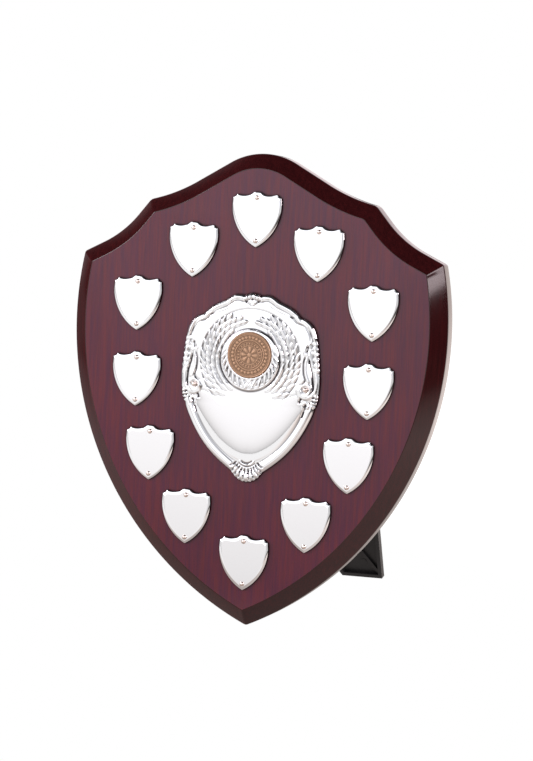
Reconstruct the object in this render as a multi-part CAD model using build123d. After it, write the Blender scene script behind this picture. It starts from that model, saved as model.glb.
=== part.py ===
from build123d import *
from math import acos, asin, atan, atan2, cos, degrees, hypot, radians, sin, tan
import os

# Shield plaque that stands on its tip and a fold-out strut. Millimetres and degrees.
#
# Every piece is drawn in the board's own frame: X to the viewer's right, Y up the board from
# the sharp point where the two sides would meet, Z out of the front with the back face at 0.
# in_world() then leans the board back, so that +Z is up, the front faces -Y and the origin is
# the point at the rounded tip where the back edge touches the table.

# ---- board -------------------------------------------------------------------------------
LEAN = 13.0
BOARD_T = 17.0
BEVEL_DEPTH = 7.5
BEVEL_WIDTH = 8.6
TIP_R = 3.0
HORN_R = 2.5
SHOULDER_R = 5.0
HORN = (105.7, 207.6)
SCOOP_START = (93.97, 213.4)
SCOOP_END = (72.85, 230.5)
SHOULDER = (66.3, 238.5)
CROWN_END = (37.0, 250.2)
APEX_START = (20.0, 260.0)
APEX_TOP = 265.6
SIDE_R = 185.0
SCOOP_R = 63.0
CROWN_R = 99.0
APEX_R = 38.6

# ---- plates on the front -----------------------------------------------------------------
CENTRE_V = 153.2
SHIELD_CENTRES = [
    (0.0, 75.5), (36.7, 57.7), (69.1, 26.3), (68.2, -16.7), (58.5, -58.2), (35.3, -92.8),
    (0.0, -116.5), (-35.3, -92.8), (-58.5, -58.2), (-68.2, -16.7), (-69.1, 26.3), (-36.7, 57.7),
]
SHIELD_NAMES = [
    "top", "upper_right", "right_high", "right_middle", "right_low", "lower_right",
    "bottom", "lower_left", "left_low", "left_middle", "left_high", "upper_left",
]
SHIELD_H = 1.9
SHIELD_RIM = 2.0
SHIELD_RIM_DROP = 1.0
SHEET_T = 0.5
SHIELD_PIN_GAP = 24.0

PLATE_FLANGE_H = 1.8
PLATE_PANEL_H = 3.2
PLATE_BOSS_H = 5.3
PLATE_BOSS_R = 17.3
PLATE_BOSS_CHAMFER = 1.2
PANEL_HALF_W = 34.8
PANEL_TOP = 27.0
PANEL_SHOULDER = 4.0
PANEL_WAIST = -26.0
PANEL_FOOT = -63.0
PANEL_TOP_R = 34.0
PANEL_SIDE_R = 95.0
PLATE_SHEET_T = 0.8
PLATE_PIN_X = 32.7
PLATE_PIN_Y = -17.7

MEDAL_D = 25.0
MEDAL_T = 1.5
MEDAL_FACE_H = 5.0
MEDAL_SEAT_GAP = 0.15
MEDAL_RELIEF = 0.25
MEDAL_BORDER_W = 0.9
MEDAL_RING_R = (8.375, 5.625)
MEDAL_RING_W = 0.45
MEDAL_SPOKES = 12
MEDAL_SPOKE_W = 0.4
PAD_D = 22.0
PAD_T = 0.4

PIN_R = 0.65
PIN_HEAD_R = 1.4
PIN_HEAD_H = 1.1
PIN_GRIP = 8.0
PIN_HOLE_R = 0.75
DRIVEN_GAP = 0.01

# ---- strut on the back -------------------------------------------------------------------
HINGE_V = 184.0
HINGE_W = -7.5
HINGE_KNUCKLE_R = 4.0
HINGE_PIN_R = 1.5
HINGE_PIN_L = 97.0
HINGE_RUNNING_GAP = 0.05
HINGE_FIXED_GAP = 0.01
HINGE_PLATE_T = 3.0
HINGE_PLATE_W = 100.0
HINGE_PLATE_BELOW = 8.0
HINGE_PLATE_ABOVE = 22.0
HINGE_PLATE_CORNER_R = 3.0
OUTER_KNUCKLE = (36.0, 48.0)
CENTRE_KNUCKLE = 6.0
KNUCKLE_SIDE_GAP = 0.4
HEEL_BASE = 2.5
HEEL_TOP = 9.0
HEEL_GAP = 0.05
HEEL_BACK = 8.0

LEG_LENGTH = 181.0
LEG_W = 108.0
LEG_T = 5.0
LEG_WEB_T = 2.5
LEG_RIM = 2.2
LEG_TOP = 6.0
LEG_TOP_R = 8.0
LEG_CORNER_R = 1.2
FOOT_W = 24.5
NOTCH_ANGLE = 35.3
NOTCH_R = 5.0
RIB_W = 1.6
RIB_H = 1.5
MARK_R = 2.0
MARK_H = 0.2
MARK_X = 42.6
MARK_UP = 9.4

SCREW_R = 1.5
SCREW_HEAD_R = 3.0
SCREW_HEAD_H = 1.6
SCREW_L = 12.0
SCREW_POINT = 3.0
SCREW_CROSS_L = 4.2
SCREW_CROSS_W = 0.7
SCREW_CROSS_DEPTH = 0.8
HINGE_SCREW_X = (14.0, 40.0)
HINGE_SCREW_UP = 15.0

# ---- wall hanger -------------------------------------------------------------------------
HANGER_V = 230.0
HANGER_T = 1.6
HANGER_W = 18.0
HANGER_H = 42.0
HANGER_SCREW_UP = 15.0
HANGER_SCREW_L = 8.0
KEYHOLE_R = 4.5
KEYHOLE_SLOT_W = 4.4
KEYHOLE_RISE = 8.0
POCKET_DEPTH = 8.0
POCKET_R = 6.5

# ---- sizes that follow from those above --------------------------------------------------
TIP_SLOPE = asin(hypot(*HORN) / 2 / SIDE_R)
CHORD_SLOPE = atan(HORN[1] / HORN[0])
TIP_RISE = TIP_R * (1 / cos(CHORD_SLOPE - TIP_SLOPE) - 1)
SHIELD_PIN_SITES = [
    (x, CENTRE_V + y + side * SHIELD_PIN_GAP / 2)
    for x, y in SHIELD_CENTRES
    for side in (1, -1)
]
PLATE_PIN_SITES = [(side * PLATE_PIN_X, CENTRE_V + PLATE_PIN_Y) for side in (1, -1)]
HINGE_SCREW_SITES = [
    (side * x, HINGE_V + HINGE_SCREW_UP) for x in HINGE_SCREW_X for side in (1, -1)
]
HANGER_SCREW_SITES = [(0, HANGER_V + side * HANGER_SCREW_UP) for side in (1, -1)]
KEYHOLE_LOW = HANGER_V - KEYHOLE_RISE / 2
KEYHOLE_HIGH = HANGER_V + KEYHOLE_RISE / 2
HINGE_RISE = (HINGE_V - TIP_RISE) * cos(radians(LEAN)) + HINGE_W * sin(radians(LEAN))
LEG_REACH = hypot(LEG_LENGTH, LEG_T / 2)
LEG_SLOPE = acos(HINGE_RISE / LEG_REACH) + atan(LEG_T / 2 / LEG_LENGTH)
OPEN_ANGLE = LEAN + degrees(LEG_SLOPE)


def in_world(shape):
    """Lean a shape drawn in the board's frame back, and put the tip at the origin."""
    return Rot(90 - LEAN, 0, 0) * Pos(0, -TIP_RISE, 0) * shape


def swept_arc(start, end, radius, side):
    """An arc between two points, bulging to the left (1) or the right (-1) of the way there."""
    half = hypot(end[0] - start[0], end[1] - start[1]) / 2
    rise = side * (radius - (radius ** 2 - half ** 2) ** 0.5)
    across = ((start[1] - end[1]) / (2 * half), (end[0] - start[0]) / (2 * half))
    middle = (
        (start[0] + end[0]) / 2 + rise * across[0],
        (start[1] + end[1]) / 2 + rise * across[1],
    )
    return ThreePointArc(start, middle, end)


def mirrored_face(right_half):
    """A face from the edges of its right half and their mirror images."""
    edges = []
    for edge in right_half:
        edges += edge.edges()
        edges += mirror(edge, about=Plane.YZ).edges()
    return make_face(Wire(edges))


def vertices_at(face, points, reach=0.2):
    """The vertices of a face that lie at any of the given points."""
    return [
        v for v in face.vertices()
        if any(hypot(v.X - x, v.Y - y) < reach for x, y in points)
    ]


def slab(face, bottom, top):
    """A flat face raised from one height to another."""
    return extrude(Pos(0, 0, bottom) * face, top - bottom)


def rod(x, y, radius, bottom, top):
    """A cylinder along Z between two heights."""
    return Pos(x, y, (bottom + top) / 2) * Cylinder(radius, top - bottom)


def x_rod(radius, left, right):
    """A cylinder along X, centred on the X axis."""
    return Pos((left + right) / 2, 0, 0) * Rot(0, 90, 0) * Cylinder(radius, right - left)


def block(x_range, y_range, z_range):
    """A box between two corners."""
    centre = [(low + high) / 2 for low, high in (x_range, y_range, z_range)]
    sides = [high - low for low, high in (x_range, y_range, z_range)]
    return Pos(*centre) * Box(*sides)


# ---- backboard ---------------------------------------------------------------------------
def board_outline():
    """The shield outline with sharp corners: bowed sides, scooped shoulders, a domed top."""
    return mirrored_face([
        swept_arc((0, 0), HORN, SIDE_R, -1),
        Line(HORN, SCOOP_START),
        swept_arc(SCOOP_START, SCOOP_END, SCOOP_R, 1),
        Line(SCOOP_END, SHOULDER),
        swept_arc(SHOULDER, CROWN_END, CROWN_R, 1),
        Line(CROWN_END, APEX_START),
        swept_arc(APEX_START, (0, APEX_TOP), APEX_R, -1),
    ])


def rounded(face, corners, radius):
    """The face with the named corners, and their mirror images, rounded."""
    both = [(side * x, y) for x, y in corners for side in (1, -1)]
    return fillet(vertices_at(face, both), radius)


def backboard():
    sharp = board_outline()
    body = slab(sharp, 0, BOARD_T)
    front = body.faces().sort_by(Axis.Z)[-1]
    body = chamfer(front.outer_wire().edges(), BEVEL_WIDTH, BEVEL_DEPTH, reference=front)
    soft = rounded(sharp, [HORN], HORN_R)
    soft = rounded(soft, [SHOULDER], SHOULDER_R)
    soft = rounded(soft, [(0, 0)], TIP_R)
    body = body & slab(soft, 0, BOARD_T)
    for x, y in SHIELD_PIN_SITES + PLATE_PIN_SITES:
        body -= rod(x, y, PIN_R + DRIVEN_GAP, BOARD_T - PIN_GRIP, BOARD_T)
    for x, y in HINGE_SCREW_SITES:
        body -= screw_space(x, y, HINGE_PLATE_T, SCREW_L)
    for x, y in HANGER_SCREW_SITES:
        body -= screw_space(x, y, HANGER_T, HANGER_SCREW_L)
    pocket = rod(0, KEYHOLE_LOW, POCKET_R, 0, POCKET_DEPTH)
    pocket += rod(0, KEYHOLE_HIGH, POCKET_R, 0, POCKET_DEPTH)
    pocket += block((-POCKET_R, POCKET_R), (KEYHOLE_LOW, KEYHOLE_HIGH), (0, POCKET_DEPTH))
    return body - pocket


# ---- side shields and their pins ---------------------------------------------------------
def shield_outline():
    """A small heater shield about the middle of its two pins: crest, two horns, pointed foot."""
    return mirrored_face([
        Line((0, 15.2), (1.8, 15.2)),
        Line((1.8, 15.2), (4.2, 13.5)),
        swept_arc((4.2, 13.5), (11.8, 13.9), 14.0, -1),
        swept_arc((11.8, 13.9), (14.1, 12.1), 3.0, -1),
        Line((14.1, 12.1), (14.4, 8.0)),
        swept_arc((14.4, 8.0), (0, -15.5), 26.8, 1),
    ])


def side_shield(x, y):
    outline = shield_outline()
    body = slab(outline, 0, SHIELD_H)
    top = body.faces().sort_by(Axis.Z)[-1]
    body = chamfer(top.outer_wire().edges(), SHIELD_RIM, SHIELD_RIM_DROP, reference=top)
    body -= slab(offset(outline, -SHIELD_RIM), 0, SHIELD_H - SHEET_T)
    for side in (1, -1):
        body -= rod(0, side * SHIELD_PIN_GAP / 2, PIN_HOLE_R, 0, SHIELD_H)
    return Pos(x, CENTRE_V + y, BOARD_T) * body


def dome_pin(x, y, head_base):
    """A round-headed pin driven into the front of the board."""
    ball = (PIN_HEAD_R ** 2 + PIN_HEAD_H ** 2) / (2 * PIN_HEAD_H)
    head = Pos(x, y, head_base + PIN_HEAD_H - ball) * Sphere(ball)
    head &= rod(x, y, 2 * PIN_HEAD_R, head_base, head_base + PIN_HEAD_H)
    point_h = 2 * PIN_R
    foot = BOARD_T - PIN_GRIP
    shank = rod(x, y, PIN_R, foot + point_h, head_base + PIN_HEAD_H / 4)
    point = Pos(x, y, foot + point_h / 2) * Cone(PIN_R / 8, PIN_R, point_h)
    return head + shank + point


# ---- centre plate, medallion and pad -----------------------------------------------------
def plate_outline():
    """The pressed plate about the medallion's centre: three lobes a side, a scalloped foot."""
    return mirrored_face([
        Line((0, 33.4), (4.3, 33.4)),
        swept_arc((4.3, 33.4), (5.6, 29.2), 4.0, -1),
        swept_arc((5.6, 29.2), (15.0, 30.4), 6.6, 1),
        swept_arc((15.0, 30.4), (28.6, 21.8), 13.0, 1),
        swept_arc((28.6, 21.8), (38.2, 10.7), 9.5, 1),
        Line((38.2, 10.7), (39.3, 7.9)),
        swept_arc((39.3, 7.9), (38.6, -27.1), 120.0, 1),
        Line((38.6, -27.1), (36.8, -30.7)),
        swept_arc((36.8, -30.7), (7.9, -65.7), 105.0, 1),
        swept_arc((7.9, -65.7), (0, -70.7), 8.0, 1),
    ])


def panel_outline(inset):
    """The raised inner field of the centre plate, drawn in by a margin."""
    side = PANEL_HALF_W - inset
    return mirrored_face([
        swept_arc((0, PANEL_TOP - inset), (side, PANEL_SHOULDER), PANEL_TOP_R, 1),
        Line((side, PANEL_SHOULDER), (side, PANEL_WAIST)),
        swept_arc((side, PANEL_WAIST), (0, PANEL_FOOT + inset), PANEL_SIDE_R, 1),
    ])


def centre_plate():
    flange = slab(plate_outline(), 0, PLATE_FLANGE_H)
    panel = slab(panel_outline(0), 0, PLATE_PANEL_H)
    boss = rod(0, 0, PLATE_BOSS_R, 0, PLATE_BOSS_H)
    boss = chamfer(boss.edges().sort_by(Axis.Z)[-1], PLATE_BOSS_CHAMFER)
    seat_r = MEDAL_D / 2 + MEDAL_SEAT_GAP
    seat_h = MEDAL_FACE_H - MEDAL_T - PAD_T
    sheet = PLATE_SHEET_T
    body = flange + panel + boss
    body -= slab(offset(plate_outline(), -2 * sheet), 0, PLATE_FLANGE_H - sheet)
    body -= slab(panel_outline(sheet), 0, PLATE_PANEL_H - sheet)
    gutter = rod(0, 0, PLATE_BOSS_R - 2 * sheet, 0, PLATE_BOSS_H - sheet)
    gutter -= rod(0, 0, seat_r + sheet, seat_h - sheet, PLATE_BOSS_H)
    body -= gutter
    body -= rod(0, 0, seat_r, seat_h, PLATE_BOSS_H)
    for side in (1, -1):
        body -= rod(side * PLATE_PIN_X, PLATE_PIN_Y, PIN_HOLE_R, 0, PLATE_PANEL_H)
    return Pos(0, CENTRE_V, BOARD_T) * body


def medallion():
    """A struck disc: raised border, two rings, and spokes between them."""
    radius = MEDAL_D / 2
    field = MEDAL_T - MEDAL_RELIEF
    half = MEDAL_SPOKE_W / 2
    outer_ring, inner_ring = MEDAL_RING_R
    body = rod(0, 0, radius, 0, field)
    for outer, width in (
        (radius, MEDAL_BORDER_W), (outer_ring, MEDAL_RING_W), (inner_ring, MEDAL_RING_W)
    ):
        body += rod(0, 0, outer, field, MEDAL_T) - rod(0, 0, outer - width, field, MEDAL_T)
    span = (inner_ring - MEDAL_RING_W / 2, outer_ring - MEDAL_RING_W / 2)
    for step in range(MEDAL_SPOKES):
        spoke = block(span, (-half, half), (field / 2, MEDAL_T))
        body += Rot(0, 0, 360 / MEDAL_SPOKES * step) * spoke
    return Pos(0, CENTRE_V, BOARD_T + MEDAL_FACE_H - MEDAL_T) * body


def adhesive_pad():
    top = BOARD_T + MEDAL_FACE_H - MEDAL_T
    return rod(0, CENTRE_V, PAD_D / 2, top - PAD_T, top)


# ---- strut -------------------------------------------------------------------------------
def knuckle_spans():
    """X ranges of the hinge plate's knuckles, then of the leg's knuckles between them."""
    inner, outer = OUTER_KNUCKLE
    fixed = [(-outer, -inner), (-CENTRE_KNUCKLE, CENTRE_KNUCKLE), (inner, outer)]
    low = CENTRE_KNUCKLE + KNUCKLE_SIDE_GAP
    high = inner - KNUCKLE_SIDE_GAP
    return fixed, [(-high, -low), (low, high)]


def hinge_plate():
    """The plate screwed to the back, drawn about the hinge axis."""
    wall = -HINGE_W
    half = HINGE_PLATE_W / 2
    plate = block(
        (-half, half), (-HINGE_PLATE_BELOW, HINGE_PLATE_ABOVE), (wall - HINGE_PLATE_T, wall)
    )
    plate = fillet(plate.edges().filter_by(Axis.Z), HINGE_PLATE_CORNER_R)
    radius = HINGE_KNUCKLE_R
    for span in knuckle_spans()[0]:
        plate += block(span, (-radius, radius), (0, wall - HINGE_PLATE_T / 2))
        plate += x_rod(radius, *span)
    plate -= x_rod(HINGE_PIN_R + HINGE_FIXED_GAP, -half, half)
    plate = Pos(0, HINGE_V, HINGE_W) * plate
    for x, y in HINGE_SCREW_SITES:
        plate -= screw_space(x, y, HINGE_PLATE_T, SCREW_L)
    return plate


def notch_face(margin):
    """The inverted V cut out of the leg's foot, grown by a margin."""
    slope = radians(NOTCH_ANGLE)
    half = LEG_W / 2 - FOOT_W + margin / cos(slope)
    rise = half / tan(slope)
    below = 2 * LEG_T
    spread = half + below * tan(slope)
    corners = [(0, rise), (spread, -below), (-spread, -below)]
    face = make_face(Polyline(*corners, close=True))
    face = fillet(vertices_at(face, [(0, rise)]), NOTCH_R + margin)
    return Pos(0, -LEG_LENGTH, 0) * face


def leg_rib(start, end, web_top):
    """A straight rib standing on the leg's web."""
    run = hypot(end[0] - start[0], end[1] - start[1])
    turn = degrees(atan2(end[1] - start[1], end[0] - start[0]))
    rib = Box(run, RIB_W, RIB_H)
    middle = ((start[0] + end[0]) / 2, (start[1] + end[1]) / 2)
    return Pos(*middle, web_top + RIB_H / 2) * Rot(0, 0, turn) * rib


def leg_field(inset):
    """The leg's plate about the hinge axis, drawn in by an inset."""
    half = LEG_W / 2 - inset
    top = -LEG_TOP - inset
    foot = -LEG_LENGTH - LEG_T + inset * (1 + LEG_T / LEG_RIM)
    corners = [(-half, foot), (half, foot), (half, top), (-half, top)]
    face = make_face(Polyline(*corners, close=True))
    return fillet(vertices_at(face, [(half, top), (-half, top)]), LEG_TOP_R - inset)


def strut_leg():
    """The leg about the hinge axis when folded flat, then opened and cut level at the foot."""
    back = -LEG_T / 2
    front = LEG_T / 2
    web_top = back + LEG_WEB_T
    body = slab(leg_field(0) - notch_face(0), back, front)
    recess = slab(leg_field(LEG_RIM) - notch_face(LEG_RIM), web_top, front)
    body -= recess
    slope = radians(NOTCH_ANGLE)
    corner = LEG_W / 2 - LEG_RIM / 2
    peak = -LEG_LENGTH + LEG_RIM + corner / tan(slope)
    ribs = leg_rib((0, peak), (0, -LEG_TOP - LEG_RIM), web_top)
    for side in (1, -1):
        ribs += leg_rib((0, peak), (side * corner, -LEG_LENGTH + LEG_RIM), web_top)
        ribs += leg_rib((0, peak), (side * corner, 2 * peak + LEG_LENGTH), web_top)
        ribs += rod(side * MARK_X, -LEG_LENGTH + MARK_UP, MARK_R, web_top, web_top + MARK_H)
    body += ribs
    for span in knuckle_spans()[1]:
        body += block(span, (-LEG_TOP - LEG_RIM, 0), (back, front))
        body += x_rod(HINGE_KNUCKLE_R, *span)
    body = Rot(OPEN_ANGLE, 0, 0) * body
    for span in knuckle_spans()[1]:
        wall = -HINGE_W - HINGE_PLATE_T
        body += block(span, (0, HEEL_TOP), (wall - HEEL_BACK, wall - HEEL_GAP))
        body -= block(span, (-HINGE_PLATE_BELOW, HEEL_BASE), (HINGE_KNUCKLE_R, wall))
    body -= x_rod(HINGE_PIN_R + HINGE_RUNNING_GAP, -LEG_W, LEG_W)
    leg = in_world(Pos(0, HINGE_V, HINGE_W) * body)
    return leg - block((-LEG_W, LEG_W), (0, 2 * LEG_LENGTH), (-LEG_LENGTH, 0))


def hinge_pin():
    half = HINGE_PIN_L / 2
    return Pos(0, HINGE_V, HINGE_W) * x_rod(HINGE_PIN_R, -half, half)


# ---- screws and hanger -------------------------------------------------------------------
def screw_body(length, radius_gap, recess):
    """A countersunk wood screw along -Z, head face at 0."""
    head_r = SCREW_HEAD_R + radius_gap
    shank_r = SCREW_R + radius_gap
    head = Pos(0, 0, -SCREW_HEAD_H / 2) * Cone(shank_r, head_r, SCREW_HEAD_H)
    straight = length - SCREW_POINT
    shank = Pos(0, 0, -straight / 2) * Cylinder(shank_r, straight)
    point = Pos(0, 0, -straight - SCREW_POINT / 2) * Cone(shank_r / 6, shank_r, SCREW_POINT)
    body = head + shank + point
    if recess:
        for turn in (0, 90):
            body -= Rot(0, 0, turn) * Box(SCREW_CROSS_L, SCREW_CROSS_W, 2 * SCREW_CROSS_DEPTH)
    return body


def wood_screw(x, y, plate_t, length):
    """A screw driven from the back through a plate of the given thickness."""
    return Pos(x, y, -plate_t) * Rot(180, 0, 0) * screw_body(length, 0, True)


def screw_space(x, y, plate_t, length):
    """The room that screw takes in the plate and the board."""
    return Pos(x, y, -plate_t) * Rot(180, 0, 0) * screw_body(length, DRIVEN_GAP, False)


def hanger_plate():
    """A flat keyhole plate over the routed pocket: round entry below, slot above."""
    plate = Pos(0, HANGER_V, 0) * slab(SlotOverall(HANGER_H, HANGER_W, 90), -HANGER_T, 0)
    half = KEYHOLE_SLOT_W / 2
    plate -= rod(0, KEYHOLE_LOW, KEYHOLE_R, -HANGER_T, 0)
    plate -= rod(0, KEYHOLE_HIGH, half, -HANGER_T, 0)
    plate -= block((-half, half), (KEYHOLE_LOW, KEYHOLE_HIGH), (-HANGER_T, 0))
    for x, y in HANGER_SCREW_SITES:
        plate -= screw_space(x, y, HANGER_T, HANGER_SCREW_L)
    return plate


def all_parts():
    """Every node by name, in the world frame."""
    parts = {"backboard": in_world(backboard())}
    parts["centre_plate"] = in_world(centre_plate())
    parts["medallion"] = in_world(medallion())
    parts["medallion_adhesive_pad"] = in_world(adhesive_pad())
    for number, (name, (x, y)) in enumerate(zip(SHIELD_NAMES, SHIELD_CENTRES), 1):
        parts[f"side_shield_{number:02d}_{name}"] = in_world(side_shield(x, y))
    shield_head = BOARD_T + SHIELD_H
    plate_head = BOARD_T + PLATE_PANEL_H
    pins = [dome_pin(x, y, shield_head) for x, y in SHIELD_PIN_SITES]
    parts["side_shield_pins"] = in_world(Compound(children=pins))
    pins = [dome_pin(x, y, plate_head) for x, y in PLATE_PIN_SITES]
    parts["centre_plate_pins"] = in_world(Compound(children=pins))
    parts["strut_leg"] = strut_leg()
    parts["strut_hinge_plate"] = in_world(hinge_plate())
    parts["strut_hinge_pin"] = in_world(hinge_pin())
    screws = [wood_screw(x, y, HINGE_PLATE_T, SCREW_L) for x, y in HINGE_SCREW_SITES]
    parts["strut_hinge_screws"] = in_world(Compound(children=screws))
    parts["hanger_plate"] = in_world(hanger_plate())
    screws = [wood_screw(x, y, HANGER_T, HANGER_SCREW_L) for x, y in HANGER_SCREW_SITES]
    parts["hanger_screws"] = in_world(Compound(children=screws))
    return parts


os.makedirs("parts", exist_ok=True)
for node, shape in all_parts().items():
    export_step(shape, f"parts/{node}.step")
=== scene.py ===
import bpy
import math
import numpy as np
from mathutils import Matrix, Vector
from mathutils.geometry import tessellate_polygon


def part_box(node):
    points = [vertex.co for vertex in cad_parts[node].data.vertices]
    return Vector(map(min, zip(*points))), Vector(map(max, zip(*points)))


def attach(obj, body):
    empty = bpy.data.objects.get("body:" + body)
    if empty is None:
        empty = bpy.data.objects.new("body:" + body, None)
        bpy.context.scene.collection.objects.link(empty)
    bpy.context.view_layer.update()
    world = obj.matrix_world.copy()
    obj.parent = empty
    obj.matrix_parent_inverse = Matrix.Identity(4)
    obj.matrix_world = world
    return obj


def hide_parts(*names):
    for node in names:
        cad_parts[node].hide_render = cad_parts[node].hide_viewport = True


# The looks of the shield plaque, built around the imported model.
#
# Pieces on the board are drawn in the board's own frame, in millimetres: x to the viewer's
# right, y up the board, h out of its front. x and y are 0 at the medallion's middle, and h is 0
# at the front face.

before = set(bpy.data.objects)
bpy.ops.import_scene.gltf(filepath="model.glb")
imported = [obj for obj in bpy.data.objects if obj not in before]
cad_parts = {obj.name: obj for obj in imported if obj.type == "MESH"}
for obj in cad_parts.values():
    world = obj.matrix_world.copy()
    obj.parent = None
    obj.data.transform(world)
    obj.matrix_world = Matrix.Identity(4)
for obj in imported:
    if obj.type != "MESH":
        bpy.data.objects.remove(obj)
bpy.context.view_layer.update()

MM = 0.001
LEAN = math.radians(13.0)
BOARD_T = 17.0
MEDAL_FACE_H = 5.0
MEDAL_T = 1.5
FOOT_H = 0.02
OUT_BOARD = np.array((0.0, -math.cos(LEAN), math.sin(LEAN)))
AXES = np.array(((1.0, 0.0, 0.0), (0.0, math.sin(LEAN), math.cos(LEAN)), OUT_BOARD))


MEDAL_MIDDLE = np.array((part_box("medallion")[0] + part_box("medallion")[1]) / 2)
ORIGIN = MEDAL_MIDDLE - OUT_BOARD * (MEDAL_FACE_H - MEDAL_T / 2) * MM


def to_world(points):
    """Board-frame millimetres to metres in the shared frame."""
    return ORIGIN + MM * (np.asarray(points, float) @ AXES)


def board_points(node):
    """The vertices of a CAD node in the board's frame."""
    world = np.array([v.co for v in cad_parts[node].data.vertices], float)
    return (world - ORIGIN) @ AXES.T / MM


def board_box(node):
    """Lowest and highest corner of a CAD node in the board's frame."""
    points = board_points(node)
    return points.min(0), points.max(0)


# ---- mesh helpers ----
def add_object(name, data):
    made = bpy.data.objects.new(name, data)
    bpy.context.scene.collection.objects.link(made)
    return made


def at_height(outline, height):
    """An outline's points, all at one height."""
    return np.column_stack((outline, np.full(len(outline), height)))


def circle(radius, turns, height):
    """Points round a circle, all at one height."""
    return at_height(np.column_stack((radius * np.cos(turns), radius * np.sin(turns))), height)


def add_piece(name, points, faces, materials, slots=None):
    """A smooth mesh from board-frame points that rides on the plaque."""
    mesh = bpy.data.meshes.new(name)
    mesh.from_pydata([tuple(p) for p in to_world(points)], [], faces)
    for material in materials:
        mesh.materials.append(material)
    if slots is not None:
        mesh.polygons.foreach_set("material_index", np.asarray(slots, np.int32))
    mesh.polygons.foreach_set("use_smooth", [True] * len(mesh.polygons))
    mesh.update()
    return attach(add_object(name, mesh), "plaque")


def set_values(piece, name, values):
    """A number for every point of a piece, for its material to read."""
    piece.data.attributes.new(name, "FLOAT", "POINT").data.foreach_set("value", values)


def stand_for(piece, node, crease):
    """Shows a piece in place of a CAD node, with edges above the crease angle kept sharp."""
    piece.data.set_sharp_from_angle(angle=math.radians(crease))
    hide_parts(node)


def loft_faces(loops, count, closed_ends):
    """Quads between successive loops of the same count, with flat ends if asked."""
    faces = []
    for row in range(loops - 1):
        for i in range(count):
            a, b = row * count + i, row * count + (i + 1) % count
            faces.append((a, b, b + count, a + count))
    if closed_ends:
        faces.append(tuple(range(count - 1, -1, -1)))
        faces.append(tuple((loops - 1) * count + i for i in range(count)))
    return faces


# ---- outlines with rounded corners and exact insets ----
def unit(v):
    return np.asarray(v, float) / np.hypot(*v)


class Run:
    """A stretch of an outline, which is walked with its outside on the right hand. A radius
    above 0 bows the stretch outwards and one below 0 inwards; 0 leaves it straight."""

    def __init__(self, start, end, radius, steps):
        self.start = np.asarray(start, float)
        self.end = np.asarray(end, float)
        self.radius = radius
        self.steps = steps
        chord = self.end - self.start
        length = np.hypot(*chord)
        self.along = chord / length
        outward = np.array((self.along[1], -self.along[0]))
        if radius:
            half = length / 2
            reach = math.sqrt(radius * radius - half * half)
            side = math.copysign(1.0, radius)
            self.centre = (self.start + self.end) / 2 - outward * reach * side
            self.n_start = unit(self.start - self.centre) * side
            self.n_end = unit(self.end - self.centre) * side
        else:
            self.n_start, self.n_end = outward, outward

    def points(self, inset, cut_start, cut_end):
        """Points at an inset, with lengths cut off both ends."""
        share = np.linspace(0, 1, self.steps + 1)[:, None]
        if not self.radius:
            a = self.start - self.n_start * inset + self.along * cut_start
            b = self.end - self.n_end * inset - self.along * cut_end
            return a + (b - a) * share
        side = math.copysign(1.0, self.radius)
        first = math.atan2(*(self.n_start * side)[::-1])
        last = math.atan2(*(self.n_end * side)[::-1])
        sweep = (last - first + math.pi) % (2 * math.pi) - math.pi
        reach = abs(self.radius) - side * inset
        first += math.copysign(cut_start / reach, sweep)
        sweep -= math.copysign((cut_start + cut_end) / reach, sweep)
        angle = first + sweep * share
        return self.centre + reach * np.hstack((np.cos(angle), np.sin(angle)))


def closed_outline(corners, top, corner_steps):
    """corners run from the bottom middle up the right side, each with its place, its rounding
    and the radius and steps of the stretch that follows; top is the top middle. Returns a
    function of the inset and a share of the rounding, which gives one closed loop of points."""
    places = [corner[0] for corner in corners] + [top]
    half = [Run(a, b, bow, steps) for (a, _, bow, steps), b in zip(corners, places[1:])]
    flip = np.array((-1.0, 1.0))
    runs = half + [Run(r.end * flip, r.start * flip, r.radius, r.steps) for r in reversed(half)]
    radii = [corner[1] for corner in corners]
    radii += [0.0] + radii[:0:-1]
    total = len(runs)

    def corner_at(index):
        """Turn, mitre vector, point and first normal of the corner before a run."""
        before, after = runs[index - 1], runs[index]
        n1, n2 = before.n_end, after.n_start
        turn = math.atan2(n1[0] * n2[1] - n1[1] * n2[0], float(n1 @ n2))
        return turn, -(n1 + n2) / (1 + n1 @ n2), after.start, n1

    def loop(inset, soften=1.0):
        cuts, arcs = [], []
        for index in range(total):
            turn, mitre, point, n1 = corner_at(index)
            if abs(turn) < math.radians(2):
                cuts.append(0.0)
                arcs.append(None)
                continue
            radius = radii[index] * soften
            signed = radius if turn > 0 else -(radius + inset)
            reach = inset + signed
            cuts.append(reach * math.tan(turn / 2))
            first = math.atan2(n1[1], n1[0])
            angle = first + turn * np.linspace(0, 1, corner_steps + 1)[1:-1, None]
            ring = np.hstack((np.cos(angle), np.sin(angle)))
            arcs.append(point + mitre * reach + signed * ring)
        points = []
        for index, run in enumerate(runs):
            if arcs[index] is not None:
                points.append(arcs[index])
            following = (index + 1) % total
            stretch = run.points(inset, cuts[index], cuts[following])
            points.append(stretch[:-1] if arcs[following] is None else stretch)
        return np.vstack(points)

    return loop


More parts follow.
